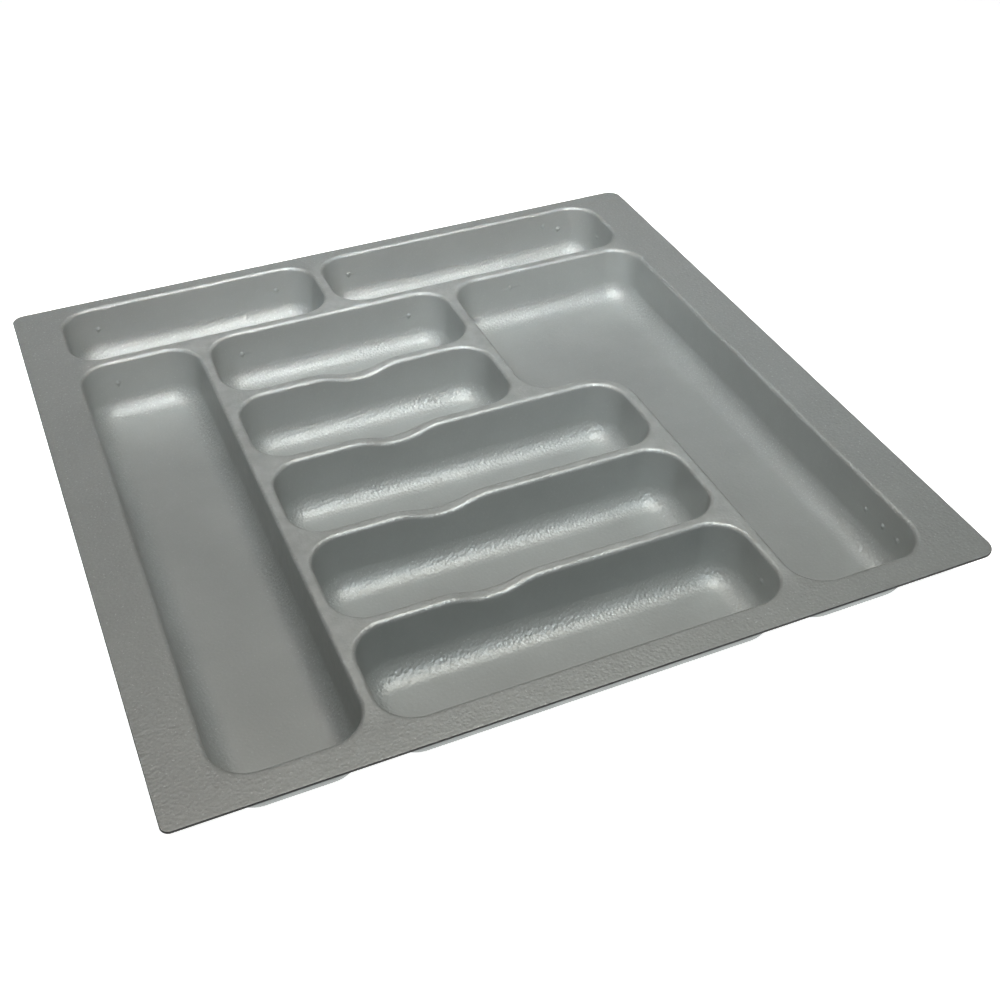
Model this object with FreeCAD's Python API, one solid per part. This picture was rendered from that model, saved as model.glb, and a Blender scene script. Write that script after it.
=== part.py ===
"""Drawer cutlery tray, vacuum formed from one plastic sheet: a flat rim round nine wells.

Millimetres. X runs to the right, Y to the back of the drawer, Z up. The origin is under the
middle of the tray, on the surface that the well floors stand on.

The sheet is divided along the middle of the lands between the wells. Each well is one solid with
its share of the land round it, and the rim is the flat frame that they meet face to face.
"""

import FreeCAD, Part
import math
import os

# Sheet
TRAY_HEIGHT = 42.0
SHEET_GAUGE = 1.5

# Outer corners of the rim, trimmed rounder on the right than on the left
FRONT_LEFT_RADIUS = 5.0
FRONT_RIGHT_RADIUS = 10.0
BACK_RIGHT_RADIUS = 10.0
BACK_LEFT_RADIUS = 8.0

# Flat rim, from the edge of the tray to where the outer wells start to turn down
RIM_LEFT = 29.0
RIM_RIGHT = 30.5
RIM_BACK = 8.0
RIM_FRONT = 17.0

# Flat land between the lips of neighbouring wells
LAND = 2.4

# Wells, measured between the lines where the flat deck starts to turn down
BACK_ROW_WIDTH = 72.6
BACK_LEFT_LENGTH = 193.6
SIDE_WELL_WIDTH = 87.2
CUTLERY_WIDTH = 76.08
SHORT_WELL_LENGTH = 185.5
STEPPED_FRONT_WIDTH = 92.5
SHORT_WELL_COUNT = 2
LONG_WELL_COUNT = 3

# Straight stretch of the stepped well's step, between its two bends
STEP_STRAIGHT = 13.0

# Wall section: the lip's radius is on the sheet's lower face, the floor's on its upper face
LIP_UNDER_RADIUS = 1.5
FLOOR_RADIUS = 15.0
FLAT_CORNER_RADIUS = 5.0
WALL_DRAFT_DEG = 5.0

# Finger dips in the lands between the cutlery wells
DIP_WIDTH = 64.0
DIP_DEPTH = 5.7

# How far a cutting solid runs past what it cuts, and how near counts as touching
OVERRUN = 5.0
TOUCHING = 0.0001

# Wall section, worked out
DRAFT = math.radians(WALL_DRAFT_DEG)
BEND_SETBACK_SHARE = math.tan((math.pi / 2 - DRAFT) / 2)
LIP_RADIUS = LIP_UNDER_RADIUS + SHEET_GAUGE
LIP_SETBACK = LIP_RADIUS * BEND_SETBACK_SHARE
WALL_LEAN = (TRAY_HEIGHT - SHEET_GAUGE) * math.tan(DRAFT)
MOUTH_RADIUS = FLAT_CORNER_RADIUS + FLOOR_RADIUS * BEND_SETBACK_SHARE + WALL_LEAN + LIP_SETBACK

# Overall size
LONG_WELL_LENGTH = SHORT_WELL_LENGTH + MOUTH_RADIUS + STEP_STRAIGHT + MOUTH_RADIUS + LAND
CUTLERY_COUNT = SHORT_WELL_COUNT + LONG_WELL_COUNT
CUTLERY_PITCH = CUTLERY_WIDTH + LAND
WELLS_WIDTH = SIDE_WELL_WIDTH + LAND + LONG_WELL_LENGTH + LAND + STEPPED_FRONT_WIDTH
WELLS_DEPTH = BACK_ROW_WIDTH + CUTLERY_COUNT * CUTLERY_PITCH
TRAY_WIDTH = RIM_LEFT + WELLS_WIDTH + RIM_RIGHT
TRAY_DEPTH = RIM_FRONT + WELLS_DEPTH + RIM_BACK

# Lines of the plan that the wells share
LEFT = RIM_LEFT - TRAY_WIDTH / 2
RIGHT = LEFT + WELLS_WIDTH
FRONT = RIM_FRONT - TRAY_DEPTH / 2
BACK = FRONT + WELLS_DEPTH
BACK_ROW_FRONT = BACK - BACK_ROW_WIDTH
MAIN_BACK = BACK_ROW_FRONT - LAND
BACK_LEFT_END = LEFT + BACK_LEFT_LENGTH
SIDE_RIGHT = LEFT + SIDE_WELL_WIDTH
CUTLERY_LEFT = SIDE_RIGHT + LAND
SHORT_RIGHT = CUTLERY_LEFT + SHORT_WELL_LENGTH
LONG_RIGHT = CUTLERY_LEFT + LONG_WELL_LENGTH
STEP_FRONT = MAIN_BACK - SHORT_WELL_COUNT * CUTLERY_PITCH + LAND
DIP_X = (CUTLERY_LEFT + SHORT_RIGHT) / 2

UP = FreeCAD.Vector(0, 0, 1)


def rectangle(x_low, y_low, x_high, y_high):
    """Plan corners of a rectangle, counter-clockwise."""
    return [(x_low, y_low), (x_high, y_low), (x_high, y_high), (x_low, y_high)]


def corner_ways(corners):
    """Directions of the edges into and out of each plan corner, going round counter-clockwise."""
    points = [FreeCAD.Vector(x, y, 0) for x, y in corners]
    ways_out = [(after - here).normalize() for here, after in zip(points, points[1:] + points[:1])]
    return list(zip(ways_out[-1:] + ways_out[:-1], ways_out))


def plan_wire(corners, radii, inset, z):
    """Closed wire round a plan shape, moved inwards by inset. The radii are those with no inset: an outer
    corner loses the inset and an inner one gains it, so all wires of a shape share their arc centres.
    A corner whose radius is None stays square."""
    runs = []
    for (x, y), radius, (way_in, way_out) in zip(corners, radii, corner_ways(corners)):
        corner = FreeCAD.Vector(x, y, z) + UP.cross(way_in + way_out) * inset
        if radius is None:
            runs.append([corner])
            continue
        is_outer = way_in.cross(way_out).z > 0
        bend = radius - inset if is_outer else radius + inset
        centre = corner + (way_out - way_in) * bend
        middle = centre + (corner - centre).normalize() * bend
        runs.append([corner - way_in * bend, middle, corner + way_out * bend])
    edges = []
    for run, following in zip(runs, runs[1:] + runs[:1]):
        if len(run) > 1:
            edges.append(Part.Arc(*run).toShape())
        edges.append(Part.makeLine(run[-1], following[0]))
    return Part.Wire(edges)


def prism(corners, radii, inset, z_low, z_high):
    """Upright solid on a plan shape."""
    return Part.Face(plan_wire(corners, radii, inset, z_low)).extrude(UP * (z_high - z_low))


def mouth_radii(corners):
    """Corner radii of a well's mouth. An inner corner runs round its neighbour's, one land away."""
    return [MOUTH_RADIUS if way_in.cross(way_out).z > 0 else MOUTH_RADIUS + LAND
            for way_in, way_out in corner_ways(corners)]


def edges_where(shape, test):
    """Edges of a shape whose middle point passes a test."""
    return [edge for edge in shape.Edges
            if test(edge.valueAt((edge.FirstParameter + edge.LastParameter) / 2))]


def cavity(corners, grow):
    """Space inside a well, with leaning walls and a rounded floor edge, grown into the sheet."""
    floor = SHEET_GAUGE - grow
    wires = []
    for z in (floor, TRAY_HEIGHT + OVERRUN):
        inset = LIP_SETBACK + (TRAY_HEIGHT - z) * math.tan(DRAFT) - grow / math.cos(DRAFT)
        wires.append(plan_wire(corners, mouth_radii(corners), inset, z))
    solid = Part.makeLoft(wires, True, True).Solids[0]
    floor_edges = edges_where(solid, lambda middle: abs(middle.z - floor) < TOUCHING)
    return solid.makeFillet(FLOOR_RADIUS + grow, floor_edges)


def dip_cutter(ridge_y, grow):
    """Solid that sinks a finger dip into the land along one ridge: a hollow between two shoulders,
    three arcs of one radius on the sheet's upper face, moved down into the sheet by grow."""
    half_width = DIP_WIDTH / 2
    radius = (half_width ** 2 + DIP_DEPTH ** 2) / (4 * DIP_DEPTH)
    turn = 2 * math.atan2(DIP_DEPTH, half_width)
    y = ridge_y - CUTLERY_WIDTH / 2

    def shoulder(side, angle):
        reach = radius - grow
        x = DIP_X + side * (half_width - reach * math.sin(angle))
        return FreeCAD.Vector(x, y, TRAY_HEIGHT - radius + reach * math.cos(angle))

    hollow = FreeCAD.Vector(DIP_X, y, TRAY_HEIGHT - DIP_DEPTH - grow)
    left, right = (shoulder(side, 0) for side in (-1, 1))
    left_bend, right_bend = (shoulder(side, turn) for side in (-1, 1))
    arcs = [Part.Arc(left, shoulder(-1, turn / 2), left_bend),
            Part.Arc(left_bend, hollow, right_bend),
            Part.Arc(right_bend, shoulder(1, turn / 2), right)]
    over = Part.makePolygon([right, right + UP * OVERRUN, left + UP * OVERRUN, left])
    profile = Part.Wire([arc.toShape() for arc in arcs] + over.Edges)
    return Part.Face(profile).extrude(FreeCAD.Vector(0, CUTLERY_WIDTH, 0))


def under_solid(corners, wrapped, ridges, grow, past):
    """Everything in a well's cell that lies under the sheet's upper face, or under its lower face
    when grow is the gauge. past takes it out of the cell on all sides but the top."""
    top = TRAY_HEIGHT - grow
    space = cavity(corners, grow)
    cell_radii = [radius if number == wrapped else None for number, radius in enumerate(mouth_radii(corners))]
    solid = prism(corners, cell_radii, -LAND / 2 - past, -past, top).cut(space)
    for ridge_y in ridges:
        solid = solid.cut(dip_cutter(ridge_y, grow))

    def on_lip(middle):
        is_high = middle.z > top - DIP_DEPTH - TOUCHING
        return is_high and space.distToShape(Part.Vertex(middle))[0] < TOUCHING

    return solid.Solids[0].makeFillet(LIP_RADIUS - grow, edges_where(solid, on_lip))


def well(corners, wrapped=None, ridges=()):
    """One well of the sheet. wrapped is the number of the corner where the land between two wells
    bends, and ridges are the Y lines of the lands beside the well that have a finger dip."""
    upper = under_solid(corners, wrapped, ridges, 0, 0)
    return upper.cut(under_solid(corners, wrapped, ridges, SHEET_GAUGE, OVERRUN)).Solids[0]


def cutlery_well(place):
    """One of the row of cutlery wells, counted from the back. The first long one has the stepped well
    round its back right corner."""
    back = MAIN_BACK - place * CUTLERY_PITCH
    front = back - CUTLERY_WIDTH
    right = SHORT_RIGHT if place < SHORT_WELL_COUNT else LONG_RIGHT
    ridges = []
    if place > 0:
        ridges.append(back + LAND / 2)
    if place < CUTLERY_COUNT - 1:
        ridges.append(front - LAND / 2)
    wrapped = 2 if place == SHORT_WELL_COUNT else None
    return well(rectangle(CUTLERY_LEFT, front, right, back), wrapped, ridges)


def stepped_well():
    """Well on the right, wide beside the short cutlery wells and narrow beside the long ones."""
    corners = [(SHORT_RIGHT + LAND, STEP_FRONT), (LONG_RIGHT + LAND, STEP_FRONT), (LONG_RIGHT + LAND, FRONT),
               (RIGHT, FRONT), (RIGHT, MAIN_BACK), (SHORT_RIGHT + LAND, MAIN_BACK)]
    return well(corners, wrapped=1)


def rim():
    """Flat frame round the wells, with rounded outer corners."""
    bottom = TRAY_HEIGHT - SHEET_GAUGE
    edge = rectangle(-TRAY_WIDTH / 2, -TRAY_DEPTH / 2, TRAY_WIDTH / 2, TRAY_DEPTH / 2)
    edge_radii = [FRONT_LEFT_RADIUS, FRONT_RIGHT_RADIUS, BACK_RIGHT_RADIUS, BACK_LEFT_RADIUS]
    plate = prism(edge, edge_radii, 0, bottom, TRAY_HEIGHT)
    wells = rectangle(LEFT, FRONT, RIGHT, BACK)
    window = prism(wells, [None] * len(wells), -LAND / 2, bottom - OVERRUN, TRAY_HEIGHT + OVERRUN)
    return plate.cut(window).Solids[0]


nodes = {
    "rim": rim(),
    "back_left_well": well(rectangle(LEFT, BACK_ROW_FRONT, BACK_LEFT_END, BACK)),
    "back_right_well": well(rectangle(BACK_LEFT_END + LAND, BACK_ROW_FRONT, RIGHT, BACK)),
    "side_well": well(rectangle(LEFT, FRONT, SIDE_RIGHT, MAIN_BACK)),
    "stepped_well": stepped_well(),
}
for place in range(SHORT_WELL_COUNT):
    nodes[f"short_cutlery_well_{place + 1}"] = cutlery_well(place)
for place in range(LONG_WELL_COUNT):
    nodes[f"long_cutlery_well_{place + 1}"] = cutlery_well(SHORT_WELL_COUNT + place)

os.makedirs("parts", exist_ok=True)
for name, shape in nodes.items():
    shape.exportStep(f"parts/{name}.step")
    print(f"{name}: {shape.Volume:.0f} mm3, valid {shape.isValid()}")
print(f"tray {TRAY_WIDTH:.2f} x {TRAY_DEPTH:.2f} x {TRAY_HEIGHT:.2f} mm, "
      f"long wells {LONG_WELL_LENGTH:.2f} mm, mouth corners {MOUTH_RADIUS:.2f} mm")
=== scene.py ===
"""Drawer cutlery tray: the skins of its formed sheet, the sheet's finish, and a plain studio round it."""
import math
from collections import namedtuple

import bmesh
import bpy
from mathutils import Matrix, Vector


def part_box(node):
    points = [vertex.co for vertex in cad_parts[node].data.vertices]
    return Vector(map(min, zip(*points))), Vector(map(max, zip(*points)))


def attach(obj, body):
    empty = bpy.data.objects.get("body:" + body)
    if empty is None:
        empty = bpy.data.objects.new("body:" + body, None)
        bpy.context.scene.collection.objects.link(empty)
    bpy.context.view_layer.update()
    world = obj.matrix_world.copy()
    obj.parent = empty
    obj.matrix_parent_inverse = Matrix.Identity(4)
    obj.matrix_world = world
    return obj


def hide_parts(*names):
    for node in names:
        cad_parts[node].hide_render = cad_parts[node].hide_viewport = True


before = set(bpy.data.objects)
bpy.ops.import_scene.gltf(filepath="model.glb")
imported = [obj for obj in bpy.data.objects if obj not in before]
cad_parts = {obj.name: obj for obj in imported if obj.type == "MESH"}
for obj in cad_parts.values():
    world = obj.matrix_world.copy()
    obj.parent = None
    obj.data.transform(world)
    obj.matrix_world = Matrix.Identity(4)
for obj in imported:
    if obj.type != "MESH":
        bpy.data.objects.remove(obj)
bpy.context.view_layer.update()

MM = 0.001
QUARTER_TURN = math.pi / 2

# Sheet and wall section, in millimetres
GAUGE = 1.5
LAND = 2.4
LIP_RADIUS = 3.0
FLOOR_RADIUS = 15.0
FLAT_CORNER_RADIUS = 5.0
DRAFT = math.radians(5.0)
STEEP = QUARTER_TURN - DRAFT
SETBACK_SHARE = math.tan(STEEP / 2)

# Finger dips in the lands between the cutlery wells
DIP_WIDTH = 64.0
DIP_DEPTH = 5.7

# Trimmed edge of the rim, and the radii of its corners, counter-clockwise from the front left one
EDGE_ROUND = 0.35
EDGE_RADII = (5.0, 10.0, 10.0, 8.0)

# Vent pips, small domes that the mould's air holes leave on the walls
VENT_RADIUS = 2.0
VENT_RISE = 0.9
VENT_HEIGHT = 25.0
VENT_OFFSET = 28.3

# Where each well has them: wall, counted counter-clockwise from the leftmost front one, place along it, and
# height over the table. A place below zero is measured back from the wall's end.
VENTS = {
    "back_left_well": ((2, VENT_OFFSET, VENT_HEIGHT), (2, -VENT_OFFSET, VENT_HEIGHT)),
    "back_right_well": ((1, -VENT_OFFSET, VENT_HEIGHT), (2, VENT_OFFSET, VENT_HEIGHT), (2, 41.6, 29.7),
                        (2, -VENT_OFFSET, VENT_HEIGHT)),
    "side_well": ((2, -VENT_OFFSET, VENT_HEIGHT),),
    "short_cutlery_well_1": ((2, VENT_OFFSET, VENT_HEIGHT), (2, -VENT_OFFSET, VENT_HEIGHT)),
    "long_cutlery_well_3": ((1, 32.0, VENT_HEIGHT),),
    "stepped_well": ((3, 29.2, VENT_HEIGHT), (3, 43.8, VENT_HEIGHT), (3, 61.3, VENT_HEIGHT),
                     (4, 104.7, 28.5)),
}

# Depth of the grain, which drawing the sheet thins on floors and walls
RIM_GRAIN = 0.4
LIP_GRAIN = 0.35
FLOOR_GRAIN = 0.15
BEND_GRAIN = 0.65

# Painted sheen of the ridges between wells, a painted highlight for the light they catch, over how many
# millimetres it fades towards the rim, painted sheen of the lips' bends, and wear of the rim's edge
RIDGE_SHEEN = 1.5
RIDGE_FADE = 30.0
LIP_SHEEN = 0.15
EDGE_WEAR = 0.2

# How finely the skins are divided: steps to a bend, and millimetres to a step along straight runs
CORNER_STEPS = 20
DIP_STEPS = 40
LIP_STEPS = 8
WALL_STEPS = 4
FLOOR_STEPS = 16
EDGE_STEPS = 3
VENT_STEPS = 10
RUN_STEP = 8.0
RIM_RUN_STEP = 16.0

# Angle between faces past which their edge stays sharp
SHARP = math.radians(40)

# Flat strips beside the floors' bends and the rim's edge, which keep the shading of the flat parts even
FLOOR_MARGIN = 1.6
RIM_MARGIN = 1.5

# Wells by kind, and the one whose corner the stepped well goes round
CUTLERY_WELLS = ("short_cutlery_well_1", "short_cutlery_well_2",
                 "long_cutlery_well_1", "long_cutlery_well_2", "long_cutlery_well_3")
PLAIN_WELLS = ("back_left_well", "back_right_well", "side_well")
STEPPED_WELL = "stepped_well"
WRAPPED_WELL = "long_cutlery_well_1"

# Place on a well's mouth, vent pip, and settings of a cloudy texture
Sample = namedtuple("Sample", "point inward edge dip run offset")
Vent = namedtuple("Vent", "run offset height")
Texture = namedtuple("Texture", "scale detail roughness")


def cell(node):
    """Plan box of a node in millimetres, as low x, low y, high x, high y, and its top."""
    low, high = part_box(node)
    return low.x / MM, low.y / MM, high.x / MM, high.y / MM, high.z / MM


# Sizes that follow from the section and the frame
TOP = cell("rim")[4]
LIP_SETBACK = LIP_RADIUS * SETBACK_SHARE
WALL_LEAN = (TOP - GAUGE) * math.tan(DRAFT)
FLOOR_INSET = LIP_SETBACK + WALL_LEAN + FLOOR_RADIUS * SETBACK_SHARE
MOUTH_RADIUS = FLOOR_INSET + FLAT_CORNER_RADIUS
WALL_HIGH = TOP - LIP_RADIUS * (1 - math.cos(STEEP))
WALL_LOW = GAUGE + FLOOR_RADIUS * (1 - math.cos(STEEP))
DIP_RADIUS = ((DIP_WIDTH / 2) ** 2 + DIP_DEPTH ** 2) / (4 * DIP_DEPTH)
FIRST_CUTLERY = cell(CUTLERY_WELLS[0])
DIP_X = (FIRST_CUTLERY[0] + FIRST_CUTLERY[2]) / 2
EDGE_CELLS = [cell(node) for node in PLAIN_WELLS + (STEPPED_WELL,)]
WINDOW = [pick(box[side] for box in EDGE_CELLS) for side, pick in enumerate((min, min, max, max))]


def ridge_sheen(place):
    """Painted sheen at a point of a cell's edge, a painted highlight: full on the ridges between wells,
    fading out towards the rim.
    """
    gaps = (place.x - WINDOW[0], place.y - WINDOW[1], WINDOW[2] - place.x, WINDOW[3] - place.y)
    return RIDGE_SHEEN * min(1.0, max(0.0, min(gaps)) / RIDGE_FADE)


def dip_at(x):
    """Depth of a finger dip at a place along its ridge."""
    off = abs(x - DIP_X)
    if off >= DIP_WIDTH / 2:
        return 0.0
    if off > DIP_WIDTH / 4:
        return DIP_RADIUS - math.sqrt(DIP_RADIUS ** 2 - (DIP_WIDTH / 2 - off) ** 2)
    return DIP_DEPTH - DIP_RADIUS + math.sqrt(DIP_RADIUS ** 2 - off ** 2)


def vent_rise(vents, sample, height):
    """How far the vent pips lift the wall at a place on it."""
    rise = 0.0
    for vent in vents:
        if sample.run == vent.run:
            reach = math.hypot(sample.offset - vent.offset, height - vent.height) / VENT_RADIUS
            rise += VENT_RISE * max(0.0, 1 - reach ** 2)
    return rise


def wall_shares(vents):
    """Shares of the way down the straight wall where it is divided, finer across the vent pips."""
    shares = {step / WALL_STEPS for step in range(1, WALL_STEPS)}
    for height in {vent.height for vent in vents}:
        for step in range(VENT_STEPS + 1):
            level = height + VENT_RADIUS * (2 * step / VENT_STEPS - 1)
            shares.add((WALL_HIGH - level) / (WALL_HIGH - WALL_LOW))
    return sorted(shares)


def wall_section(dip, shares):
    """Points of the sheet's upper face from the land to the floor: inset from the mouth, height, slope."""
    lips = []
    for step in range(LIP_STEPS + 1):
        slope = STEEP * step / LIP_STEPS
        inset = dip * math.tan(DRAFT) + LIP_RADIUS * math.sin(slope)
        lips.append((inset, TOP - dip - LIP_RADIUS * (1 - math.cos(slope)), slope))
    bends = []
    for step in range(FLOOR_STEPS + 1):
        slope = STEEP * (1 - step / FLOOR_STEPS)
        inset = FLOOR_INSET - FLOOR_RADIUS * math.sin(slope)
        bends.append((inset, GAUGE + FLOOR_RADIUS * (1 - math.cos(slope)), slope))
    (inset, height, _), (inset_end, height_end, _) = lips[-1], bends[0]
    walls = [(inset + (inset_end - inset) * share, height + (height_end - height) * share, STEEP)
             for share in shares]
    return lips + walls + bends + [(FLOOR_INSET + FLOOR_MARGIN, GAUGE, 0.0)]


def finish_at(level, slope, ridge):
    """Wear and painted sheen, grain and stretch of the sheet at a level and slope of the section."""
    bent = math.sin(2 * slope)
    flat_share = math.cos(slope) ** 2
    if level <= LIP_STEPS:
        # Painted sheen: a painted highlight on the lips' bends and on the ridges' flat tops
        wear_and_sheen = max(LIP_SHEEN * bent, ridge * flat_share)
        return wear_and_sheen, RIM_GRAIN * flat_share + LIP_GRAIN * bent, math.sin(slope)
    return 0.0, FLOOR_GRAIN * flat_share + BEND_GRAIN * bent, 1.0


def box_corners(x_low, y_low, x_high, y_high):
    """Corners of a plan box, counter-clockwise from the front left one."""
    return [Vector(place) for place in ((x_low, y_low), (x_high, y_low), (x_high, y_high), (x_low, y_high))]


def mouth_of(node):
    """Corners of the mouth of a well that fills a rectangular cell, or of the box round one that doesn't."""
    x_low, y_low, x_high, y_high, _ = cell(node)
    return box_corners(x_low + LAND / 2, y_low + LAND / 2, x_high - LAND / 2, y_high - LAND / 2)


def ways(corners):
    """Unit directions into and out of each plan corner, going round counter-clockwise."""
    outs = [(b - a).normalized() for a, b in zip(corners, corners[1:] + corners[:1])]
    return list(zip(outs[-1:] + outs[:-1], outs))


def corner_spokes(way_in, way_out):
    """Unit directions from the centre of a rounded corner to its points, in the order of passing."""
    turns = [QUARTER_TURN * step / CORNER_STEPS for step in range(CORNER_STEPS + 1)]
    return [way_in * math.sin(turn) - way_out * math.cos(turn) for turn in turns]


def run_marks(length, fine):
    """Places that divide a straight run, without its ends; fine holds stretches with steps of their own."""
    marks, here = [], 0.0
    for low, high, steps in sorted(fine) + [(length, length, 0)]:
        coarse = max(1, math.ceil((low - here) / RUN_STEP))
        marks += [here + (low - here) * step / coarse for step in range(coarse)]
        marks += [low + (high - low) * step / steps for step in range(steps)]
        here = high
    return marks[1:]


def corner_samples(corner, radius, way_in, way_out, is_wrapped):
    """Samples round one corner of a mouth. A wrapped corner has a land of even width round it."""
    is_outer = way_in.cross(way_out) > 0
    centre = corner + (way_out - way_in) * radius
    samples = []
    for spoke in corner_spokes(way_in, way_out):
        inward = -spoke if is_outer else spoke
        point = centre + spoke * radius
        if is_wrapped:
            edge = point - inward * LAND / 2
        else:
            edge = centre + spoke * (radius + LAND / 2) / max(abs(spoke.x), abs(spoke.y))
        samples.append(Sample(point, inward, edge, 0.0, None, 0.0))
    return samples


def outline(corners, wrapped, dipped_runs, vents):
    """Samples round a well's mouth: point, way in, point on the cell's edge, dip, run and place on it."""
    samples = []
    pairs = ways(corners)
    radii = [MOUTH_RADIUS if a.cross(b) > 0 else MOUTH_RADIUS + LAND for a, b in pairs]
    for number, (corner, radius, (way_in, way_out)) in enumerate(zip(corners, radii, pairs)):
        samples += corner_samples(corner, radius, way_in, way_out, number == wrapped)
        after = (number + 1) % len(corners)
        start = corner + way_out * radius
        end = corners[after] - way_out * radii[after]
        inward = Vector((-way_out.y, way_out.x))
        is_dipped = number in dipped_runs
        fine = [(vent.offset - radius - VENT_RADIUS, vent.offset - radius + VENT_RADIUS, VENT_STEPS)
                for vent in vents if vent.run == number]
        if is_dipped:
            ends = sorted(abs(DIP_X + side * DIP_WIDTH / 2 - start.x) for side in (-1, 1))
            fine.append((*ends, DIP_STEPS))
        for mark in run_marks((end - start).length, fine):
            point = start + way_out * mark
            dip = dip_at(point.x) if is_dipped else 0.0
            samples.append(Sample(point, inward, point - inward * LAND / 2, dip, number, radius + mark))
    return samples


def skin_rings(samples, sections, vents, thickness):
    """Rings of one skin's points, from the cell's edge to the floor, a thickness under the upper face."""
    ridges = [ridge_sheen(sample.edge) for sample in samples]
    rings = [[(sample.edge.x, sample.edge.y, TOP - sample.dip - thickness, ridge, RIM_GRAIN, 0.0)
              for sample, ridge in zip(samples, ridges)]]
    for level in range(len(sections[0])):
        ring = []
        for sample, section, ridge in zip(samples, sections, ridges):
            inset, height, slope = section[level]
            has_vents = slope == STEEP and not thickness
            lift = (vent_rise(vents, sample, height) if has_vents else 0.0) - thickness
            place = sample.point + sample.inward * (inset + lift * math.sin(slope))
            ring.append((place.x, place.y, height + lift * math.cos(slope), *finish_at(level, slope, ridge)))
        rings.append(ring)
    return rings


def add_rings(points, rings):
    """Appends rings of points to a list and returns the rings as vertex numbers."""
    numbered = []
    for ring in rings:
        numbered.append(list(range(len(points), len(points) + len(ring))))
        points += ring
    return numbered


def ring_faces(rings):
    """Quads between neighbouring closed rings of vertex numbers."""
    faces = []
    for ring, following in zip(rings, rings[1:]):
        for a in range(len(ring)):
            b = (a + 1) % len(ring)
            faces.append((ring[a], ring[b], following[b], following[a]))
    return faces


def add_piece(name, points, groups):
    """Closed piece. A point is its place, wear and painted sheen, grain and stretch; a group is faces and
    their material.
    """
    mesh = bpy.data.meshes.new(name)
    places = [Vector(point[:3]) * MM for point in points]
    mesh.from_pydata(places, [], [face for faces, _ in groups for face in faces])
    slots = []
    for number, (faces, material) in enumerate(groups):
        mesh.materials.append(material)
        slots += [number] * len(faces)
    mesh.polygons.foreach_set("material_index", slots)
    mesh.polygons.foreach_set("use_smooth", [True] * len(slots))
    shape = bmesh.new()
    shape.from_mesh(mesh)
    bmesh.ops.recalc_face_normals(shape, faces=shape.faces)
    shape.to_mesh(mesh)
    shape.free()
    mesh.set_sharp_from_angle(angle=SHARP)
    for place, label in enumerate(("wear_and_sheen", "grain", "stretch"), start=3):
        values = mesh.attributes.new(label, "FLOAT", "POINT")
        values.data.foreach_set("value", [point[place] for point in points])
    piece = bpy.data.objects.new(name, mesh)
    bpy.context.scene.collection.objects.link(piece)
    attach(piece, "root")
    return piece


def add_well(node, corners, wrapped=None, dipped_runs=()):
    """One well of the sheet: an upper and a lower skin joined round the cell's edge."""
    lengths = [(b - a).length for a, b in zip(corners, corners[1:] + corners[:1])]
    vents = [Vent(run, offset if offset > 0 else lengths[run] + offset, height)
             for run, offset, height in VENTS.get(node, ())]
    samples = outline(corners, wrapped, dipped_runs, vents)
    shares = wall_shares(vents)
    sections = [wall_section(sample.dip, shares) for sample in samples]
    points = []
    upper = add_rings(points, skin_rings(samples, sections, vents, 0.0))
    lower = add_rings(points, skin_rings(samples, sections, vents, GAUGE))
    top = ring_faces(upper) + [tuple(upper[-1])]
    under = ring_faces([upper[0], lower[0]]) + ring_faces(lower) + [tuple(lower[-1])]
    piece = add_piece(f"{node}_sheet", points, [(top, GRAINED), (under, SMOOTH)])
    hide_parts(node)


def rim_spokes(corners):
    """Points round the rim's edge with the way in from each, and the numbers of its corners' middles."""
    spokes, middles = [], []
    for number, (corner, radius, (way_in, way_out)) in enumerate(zip(corners, EDGE_RADII, ways(corners))):
        centre = corner + (way_out - way_in) * radius
        middles.append(len(spokes) + CORNER_STEPS // 2)
        spokes += [(centre + spoke * radius, -spoke) for spoke in corner_spokes(way_in, way_out)]
        after = (number + 1) % len(corners)
        start = corner + way_out * radius
        end = corners[after] - way_out * EDGE_RADII[after]
        steps = math.ceil((end - start).length / RIM_RUN_STEP)
        inward = Vector((-way_out.y, way_out.x))
        spokes += [(start.lerp(end, step / steps), inward) for step in range(1, steps)]
    return spokes, middles


def edge_levels():
    """Inset and height of each ring over the rim's rounded edge, from its upper face to its under face."""
    levels = [(RIM_MARGIN, TOP)]
    for step in range(EDGE_STEPS + 1):
        turn = QUARTER_TURN * step / EDGE_STEPS
        levels.append((EDGE_ROUND * (1 - math.sin(turn)), TOP - EDGE_ROUND * (1 - math.cos(turn))))
    return levels + [(inset, 2 * TOP - GAUGE - height) for inset, height in reversed(levels)]


def panels(ring, window, middles):
    """Flat faces between the rim's edge and its window, one to a side, parted at the corners' middles."""
    count = len(ring)
    faces = []
    for side in range(len(window)):
        after = (side + 1) % len(window)
        stop = middles[after] + (count if after == 0 else 0)
        edge = [ring[place % count] for place in range(middles[side], stop + 1)]
        faces.append(tuple(edge + [window[after], window[side]]))
    return faces


def add_rim():
    """Flat frame round the wells, with a softened trimmed edge."""
    spokes, middles = rim_spokes(box_corners(*cell("rim")[:4]))
    edges = []
    for inset, height in edge_levels():
        wear_and_sheen = EDGE_WEAR if inset < RIM_MARGIN else 0.0
        places = [point + inward * inset for point, inward in spokes]
        edges.append([(place.x, place.y, height, wear_and_sheen, RIM_GRAIN, 0.0) for place in places])
    holes = [[(place.x, place.y, height, 0.0, RIM_GRAIN, 0.0) for place in box_corners(*WINDOW)]
             for height in (TOP, TOP - GAUGE)]
    points = []
    rings = add_rings(points, edges)
    windows = add_rings(points, holes)
    top = panels(rings[0], windows[0], middles) + ring_faces(rings[:2])
    cut = ring_faces(rings[1:-1])
    under = ring_faces(rings[-2:]) + panels(rings[-1], windows[1], middles) + ring_faces(windows)
    piece = add_piece("rim_sheet", points, [(top, GRAINED), (cut, CUT_EDGE), (under, SMOOTH)])
    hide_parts("rim")


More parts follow.
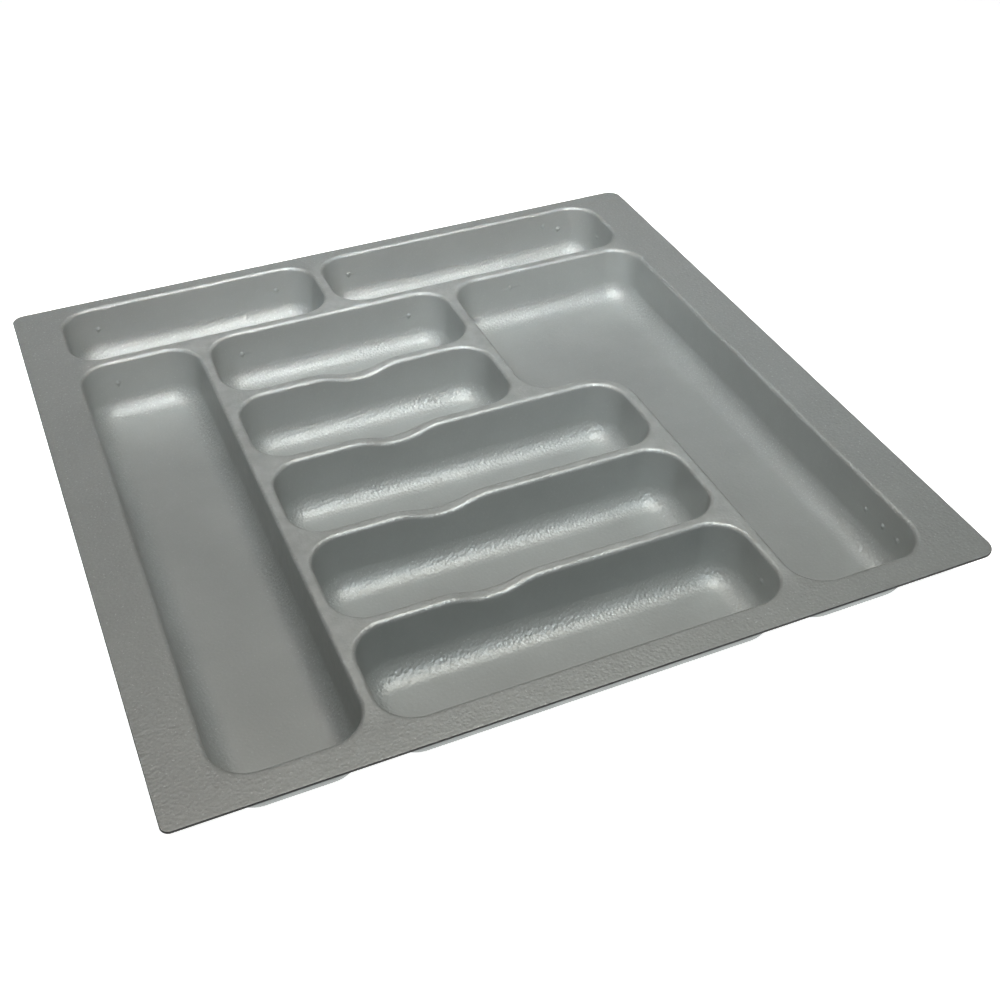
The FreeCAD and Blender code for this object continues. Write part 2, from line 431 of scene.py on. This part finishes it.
def new_material(name):
    """Material with its node tree and its shader."""
    material = bpy.data.materials.new(name)
    material.use_nodes = True
    return material, material.node_tree, material.node_tree.nodes["Principled BSDF"]


def attribute(tree, name):
    """Value that the mesh carries at each point."""
    node = tree.nodes.new("ShaderNodeAttribute")
    node.attribute_name = name
    return node.outputs["Fac"]


# Angles that keep the walls from lying along the grid that textures are built on
TEXTURE_TURN = (0.6, 0.9, 0.4)


def object_place(tree):
    """Place on the object, turned off its axes."""
    node = tree.nodes.new("ShaderNodeMapping")
    node.inputs["Rotation"].default_value = TEXTURE_TURN
    tree.links.new(tree.nodes.new("ShaderNodeTexCoord").outputs["Object"], node.inputs["Vector"])
    return node.outputs["Vector"]


def noise(tree, place, texture):
    """Cloudy texture."""
    node = tree.nodes.new("ShaderNodeTexNoise")
    node.inputs["Scale"].default_value = texture.scale
    node.inputs["Detail"].default_value = texture.detail
    node.inputs["Roughness"].default_value = texture.roughness
    tree.links.new(place, node.inputs["Vector"])
    return node.outputs["Fac"]


def cells(tree, place, scale, smoothness):
    """Texture of rounded cells."""
    node = tree.nodes.new("ShaderNodeTexVoronoi")
    node.feature = "SMOOTH_F1"
    node.inputs["Scale"].default_value = scale
    node.inputs["Smoothness"].default_value = smoothness
    tree.links.new(place, node.inputs["Vector"])
    return node.outputs["Distance"]


def ramp(tree, value, colours, band):
    """Colour that goes from the first to the second of two across a band of a texture's values."""
    node = tree.nodes.new("ShaderNodeValToRGB")
    for element, position, colour in zip(node.color_ramp.elements, band, colours):
        element.position = position
        element.color = (*colour, 1.0)
    tree.links.new(value, node.inputs["Fac"])
    return node.outputs["Color"]


def spread(tree, value, reach, band=(0.0, 1.0)):
    """Value that goes from the low to the high end of its reach across a band of a texture's values."""
    node = tree.nodes.new("ShaderNodeMapRange")
    for socket, number in zip(("From Min", "From Max", "To Min", "To Max"), (*band, *reach)):
        node.inputs[socket].default_value = number
    tree.links.new(value, node.inputs["Value"])
    return node.outputs["Result"]


def combine(tree, operation, one, other):
    """Two values joined by a sum, product or the like."""
    node = tree.nodes.new("ShaderNodeMath")
    node.operation = operation
    tree.links.new(one, node.inputs[0])
    tree.links.new(other, node.inputs[1])
    return node.outputs["Value"]


# Numbers of the colour sockets on a Mix node
MIX_FIRST = 6
MIX_SECOND = 7
MIX_RESULT = 2


def blend(tree, amount, one, other):
    """Colour between two, by an amount."""
    node = tree.nodes.new("ShaderNodeMix")
    node.data_type = "RGBA"
    tree.links.new(amount, node.inputs["Factor"])
    tree.links.new(one, node.inputs[MIX_FIRST])
    tree.links.new(other, node.inputs[MIX_SECOND])
    return node.outputs[MIX_RESULT]


def bump(tree, height, distance):
    """Node that embosses a texture, with its height in metres."""
    node = tree.nodes.new("ShaderNodeBump")
    node.inputs["Distance"].default_value = distance
    tree.links.new(height, node.inputs["Height"])
    return node


# Tones of the sheet: its slightly green tint, and the brightness at both ends of a texture's band
SHEET_TINT = (0.968, 1.028, 1.005)
# Darker tones of the rim and lands: painted shade for the light falling off towards the rim
RIM_SHADE_TONES = (0.345, 0.37)
DRAWN_TONES = (0.365, 0.4)
BRIGHT_TONES = (0.52, 0.6)
UNDER_TONES = (0.34, 0.38)
# Near-black tones of the trimmed edge: painted shade
EDGE_SHADE_TONES = (0.012, 0.04)
MID_BAND = (0.3, 0.7)
EDGE_SHADE_BAND = (0.3, 0.75)
METAL_SHARE = 0.35


def tones(tree, value, levels, band=MID_BAND):
    """The sheet's grey between two levels of brightness."""
    return ramp(tree, value, [[level * share for share in SHEET_TINT] for level in levels], band)


# Textures of the side that shows, with scales in waves to a metre
CLOUD = Texture(24.0, 5.0, 0.5)
FLAKES = Texture(700.0, 3.0, 0.7)
FLAKE_REACH = (0.0, 0.8)
FLAKE_BAND = (0.48, 0.8)
# Painted glints: sparse bright specks in the sheet's colour
GLINTS = Texture(800.0, 2.0, 0.6)
GLINT_REACH = (0.0, 2.5)
GLINT_BAND = (0.64, 0.72)
SHEEN_AND_RUB_NOISE = Texture(130.0, 4.0, 0.5)
SHEEN_AND_RUB_REACH = (0.2, 0.45)
BRIGHTNESS = Texture(60.0, 2.0, 0.5)
GLOSS = Texture(160.0, 3.0, 0.5)
GRAINED_ROUGHNESS = (0.42, 0.5)
SHEEN_AND_RUB_POLISH = (0.0, 0.1)
DEPTH = Texture(260.0, 2.0, 0.5)
DEPTH_REACH = (0.6, 1.15)
DEPTH_BAND = (0.35, 0.65)
PEBBLE_SCALE = 480.0
PEBBLE_SMOOTHNESS = 0.4
PEBBLE_HEIGHT = 0.00055
GRIT = Texture(850.0, 2.0, 0.6)
GRIT_HEIGHT = 0.0003


def grained_sheet():
    """Silver-pigmented plastic with an embossed leather grain, for the side that shows."""
    material, tree, shader = new_material("silver_sheet_grain")
    place = object_place(tree)
    grain = attribute(tree, "grain")

    # Tone: darker on the rim and lands, painted shade for the light falling off towards the rim, with flakes
    # and painted glints in the grain, and the ridges and lips painted paler as sheen
    cloud = noise(tree, place, CLOUD)
    rim_shade = tones(tree, cloud, RIM_SHADE_TONES)
    drawn = tones(tree, cloud, DRAWN_TONES)
    sheet = blend(tree, attribute(tree, "stretch"), rim_shade, drawn)
    flakes = spread(tree, noise(tree, place, FLAKES), FLAKE_REACH, FLAKE_BAND)
    # Painted glints: sparse bright specks added to the colour
    glints = spread(tree, noise(tree, place, GLINTS), GLINT_REACH, GLINT_BAND)
    sparkle = combine(tree, "MULTIPLY", grain, combine(tree, "MAXIMUM", flakes, glints))
    # Painted sheen: the ridges and lips painted paler as a highlight, with wear only on the rim's edge
    sheen_and_rub_noise = spread(tree, noise(tree, place, SHEEN_AND_RUB_NOISE), SHEEN_AND_RUB_REACH, MID_BAND)
    sheen_and_rub = combine(tree, "MULTIPLY", attribute(tree, "wear_and_sheen"), sheen_and_rub_noise)
    bright = tones(tree, noise(tree, place, BRIGHTNESS), BRIGHT_TONES)
    pale = blend(tree, combine(tree, "MAXIMUM", sparkle, sheen_and_rub), sheet, bright)
    tree.links.new(pale, shader.inputs["Base Color"])

    # Gloss: in patches, and a little higher where the wear and painted sheen lie
    patches = spread(tree, noise(tree, place, GLOSS), GRAINED_ROUGHNESS, MID_BAND)
    polish = spread(tree, sheen_and_rub, SHEEN_AND_RUB_POLISH)
    tree.links.new(combine(tree, "SUBTRACT", patches, polish), shader.inputs["Roughness"])
    shader.inputs["Metallic"].default_value = METAL_SHARE

    # Grain: pebbles with a finer grit over them
    depth = combine(tree, "MULTIPLY", grain, spread(tree, noise(tree, place, DEPTH), DEPTH_REACH, DEPTH_BAND))
    pebbles = bump(tree, cells(tree, place, PEBBLE_SCALE, PEBBLE_SMOOTHNESS), PEBBLE_HEIGHT)
    grit = bump(tree, noise(tree, place, GRIT), GRIT_HEIGHT)
    for embossing in (pebbles, grit):
        tree.links.new(depth, embossing.inputs["Strength"])
    tree.links.new(pebbles.outputs["Normal"], grit.inputs["Normal"])
    tree.links.new(grit.outputs["Normal"], shader.inputs["Normal"])
    return material


# Textures of the underside
STREAKS = Texture(18.0, 4.0, 0.5)
FLOW_MARKS = Texture(90.0, 5.0, 0.5)
SMOOTH_ROUGHNESS = (0.36, 0.5)
FLOW_HEIGHT = 0.0002
FLOW_STRENGTH = 0.15


def smooth_sheet():
    """The same plastic on the underside: smoother, with faint flow marks."""
    material, tree, shader = new_material("silver_sheet_smooth")
    place = object_place(tree)
    tree.links.new(tones(tree, noise(tree, place, STREAKS), UNDER_TONES), shader.inputs["Base Color"])
    marks = noise(tree, place, FLOW_MARKS)
    tree.links.new(spread(tree, marks, SMOOTH_ROUGHNESS, MID_BAND), shader.inputs["Roughness"])
    flow = bump(tree, marks, FLOW_HEIGHT)
    flow.inputs["Strength"].default_value = FLOW_STRENGTH
    tree.links.new(flow.outputs["Normal"], shader.inputs["Normal"])
    shader.inputs["Metallic"].default_value = METAL_SHARE
    return material


# Textures of the trimmed edge
BLADE_MARKS = Texture(1100.0, 3.0, 0.7)
CUT_ROUGHNESS = (0.5, 0.8)
BLADE_HEIGHT = 0.0001
BLADE_STRENGTH = 0.6


def cut_edge():
    """Trimmed edge of the sheet, painted near black as shade for the shadow it lies in, with fine marks of
    the blade.
    """
    material, tree, shader = new_material("painted_shade_cut_edge")
    marks = noise(tree, object_place(tree), BLADE_MARKS)
    tree.links.new(tones(tree, marks, EDGE_SHADE_TONES, EDGE_SHADE_BAND), shader.inputs["Base Color"])
    tree.links.new(spread(tree, marks, CUT_ROUGHNESS, MID_BAND), shader.inputs["Roughness"])
    scratches = bump(tree, marks, BLADE_HEIGHT)
    scratches.inputs["Strength"].default_value = BLADE_STRENGTH
    tree.links.new(scratches.outputs["Normal"], shader.inputs["Normal"])
    return material


# The tray: rim, rectangular wells, and the well that steps round a neighbour's corner
GRAINED = grained_sheet()
SMOOTH = smooth_sheet()
CUT_EDGE = cut_edge()
FRONT_RUN = 0
BACK_RUN = 2
BACK_RIGHT_CORNER = 2
STEP_CORNER = 1

add_rim()
for node in PLAIN_WELLS:
    add_well(node, mouth_of(node))
for number, node in enumerate(CUTLERY_WELLS):
    dipped = [FRONT_RUN] if number < len(CUTLERY_WELLS) - 1 else []
    if number > 0:
        dipped.append(BACK_RUN)
    add_well(node, mouth_of(node), BACK_RIGHT_CORNER if node == WRAPPED_WELL else None, dipped)

front_left, front_right, back_right, back_left = mouth_of(STEPPED_WELL)
neighbour = mouth_of(WRAPPED_WELL)[BACK_RIGHT_CORNER]
step_x, step_y = neighbour.x + LAND, neighbour.y + LAND
stepped = [Vector((front_left.x, step_y)), Vector((step_x, step_y)), Vector((step_x, front_left.y)),
           front_right, back_right, back_left]
add_well(STEPPED_WELL, stepped, STEP_CORNER)

# The floor's paper, in metres, and its tones
FLOOR_HALF = 6.0
FLOOR_GAP = 0.0005
PAPER_CLOUD = Texture(3.0, 2.0, 0.5)
PAPER_TONES = ((0.88, 0.88, 0.88), (0.91, 0.91, 0.91))
PAPER_BAND = (0.2, 0.8)
PAPER_ROUGHNESS = 0.9
PAPER_GLOW = 0.85
WHITE = (1.0, 1.0, 1.0, 1.0)


def add_floor():
    """White paper that glows a little, as a background lit by lamps of its own does."""
    mesh = bpy.data.meshes.new("floor")
    corners = box_corners(-FLOOR_HALF, -FLOOR_HALF, FLOOR_HALF, FLOOR_HALF)
    mesh.from_pydata([(corner.x, corner.y, -FLOOR_GAP) for corner in corners], [], [(0, 1, 2, 3)])
    floor = bpy.data.objects.new("floor", mesh)
    bpy.context.scene.collection.objects.link(floor)
    material, tree, shader = new_material("pale_paper")
    tint = ramp(tree, noise(tree, object_place(tree), PAPER_CLOUD), PAPER_TONES, PAPER_BAND)
    tree.links.new(tint, shader.inputs["Base Color"])
    shader.inputs["Roughness"].default_value = PAPER_ROUGHNESS
    shader.inputs["Specular IOR Level"].default_value = 0.0
    shader.inputs["Emission Color"].default_value = WHITE
    shader.inputs["Emission Strength"].default_value = PAPER_GLOW
    mesh.materials.append(material)


def add_surroundings():
    """White surroundings that show behind the floor, as bright as its far end, but cast no light."""
    world = bpy.data.worlds.new("white_room")
    bpy.context.scene.world = world
    world.use_nodes = True
    background = world.node_tree.nodes["Background"]
    background.inputs["Color"].default_value = (PAPER_GLOW, PAPER_GLOW, PAPER_GLOW, 1.0)
    world.cycles_visibility.diffuse = False
    world.cycles_visibility.glossy = False


def soft_light(name, place, target, size, power, colour, beam=180.0):
    """Softbox at a place in metres, turned to a target; beam is the angle that its grid lets through."""
    data = bpy.data.lights.new(name, "AREA")
    data.shape = "RECTANGLE"
    data.size, data.size_y = size
    data.energy = power
    data.color = colour
    data.spread = math.radians(beam)
    light = bpy.data.objects.new(name, data)
    light.location = place
    light.rotation_euler = (Vector(target) - Vector(place)).to_track_quat("-Z", "Y").to_euler()
    light.visible_camera = False
    bpy.context.scene.collection.objects.link(light)


# The studio: softboxes and strips from the front and the left, and two low boxes over those sides
SOFTBOX = (0.9, 0.9)
STRIP = (1.2, 0.2)
LOW_BOX = (0.3, 0.2)

add_floor()
add_surroundings()
soft_light("front_softbox", place=(0.0, -0.937, 2.318), target=(0.08, 0.37, 0.0), size=SOFTBOX,
           power=1.47, colour=(0.83, 0.93, 1.0), beam=32)
soft_light("left_softbox", place=(-0.811, -0.468, 2.318), target=(0.30, 0.31, 0.0), size=SOFTBOX,
           power=0.9, colour=(1.0, 0.95, 0.9), beam=32)
soft_light("front_strip", place=(0.0, -1.768, 1.768), target=(0.05, 0.35, 0.0), size=STRIP,
           power=0.35, colour=(1.0, 0.86, 0.78), beam=10)
soft_light("left_strip", place=(-1.25, -1.25, 1.768), target=(0.15, 0.25, 0.0), size=STRIP,
           power=0.29, colour=(0.8, 0.9, 1.0), beam=12)
soft_light("near_box", place=(0.08, -0.18, 0.75), target=(0.08, -0.18, 0.0), size=LOW_BOX,
           power=2.5, colour=(1.0, 0.95, 0.88))
soft_light("left_near_box", place=(-0.3, 0.1, 0.75), target=(-0.3, 0.1, 0.0), size=LOW_BOX,
           power=0.8, colour=(1.0, 0.88, 0.82))
bpy.context.scene.view_settings.view_transform = "Standard"

# Camera, worked out from the four edges of the rim in the photo: place in metres, axes, lens in millimetres
CAMERA_PLACE = (-0.2514, -0.6545, 0.5719)
CAMERA_RIGHT = (0.916332, -0.400419, 0.000299)
CAMERA_UP = (0.259555, 0.594543, 0.761019)
CAMERA_BACK = (-0.304905, -0.697268, 0.648729)
SENSOR_WIDTH = 36.0
LENS = 47.93
NEAREST = 0.01


def add_camera():
    """Camera at the photo's place and angle."""
    data = bpy.data.cameras.new("camera")
    data.sensor_width = SENSOR_WIDTH
    data.lens = LENS
    data.clip_start = NEAREST
    camera = bpy.data.objects.new("camera", data)
    turn = Matrix((CAMERA_RIGHT, CAMERA_UP, CAMERA_BACK)).transposed().to_4x4()
    camera.matrix_world = Matrix.Translation(CAMERA_PLACE) @ turn
    bpy.context.scene.collection.objects.link(camera)
    bpy.context.scene.camera = camera


add_camera()
